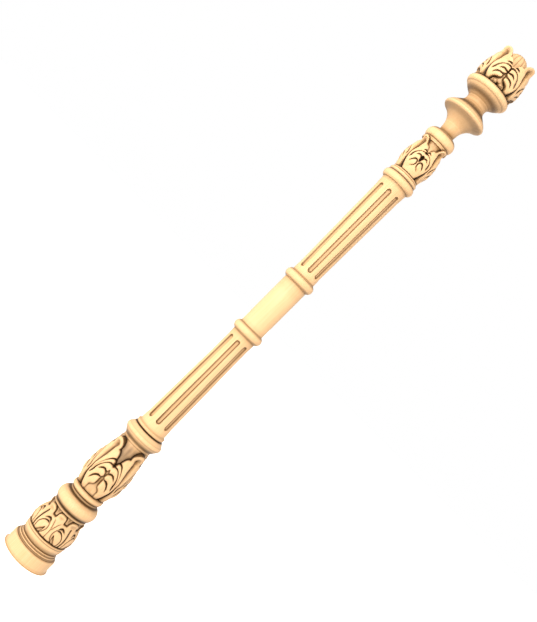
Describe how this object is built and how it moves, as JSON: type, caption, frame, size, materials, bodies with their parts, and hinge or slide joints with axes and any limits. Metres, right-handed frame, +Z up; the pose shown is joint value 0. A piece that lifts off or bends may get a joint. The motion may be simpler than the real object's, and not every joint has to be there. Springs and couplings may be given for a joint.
{
  "type": "baluster",
  "caption": "Turned wooden stair baluster with fluted shafts, carved acanthus bands and a leafy bud at the top, standing on a flat round foot.",
  "frame": {"origin": "middle of the flat underside of the foot", "axes": "+Z up the turning axis, -Y to the front, where a flute and the gap between two leaves face"},
  "size_m": [0.07, 0.07, 0.9],
  "materials": {
    "lime_wood": "turned and carved, sanded and waxed"
  },
  "bodies": {
    "root": {"baluster": "lime_wood"}
  },
  "joints": []
}
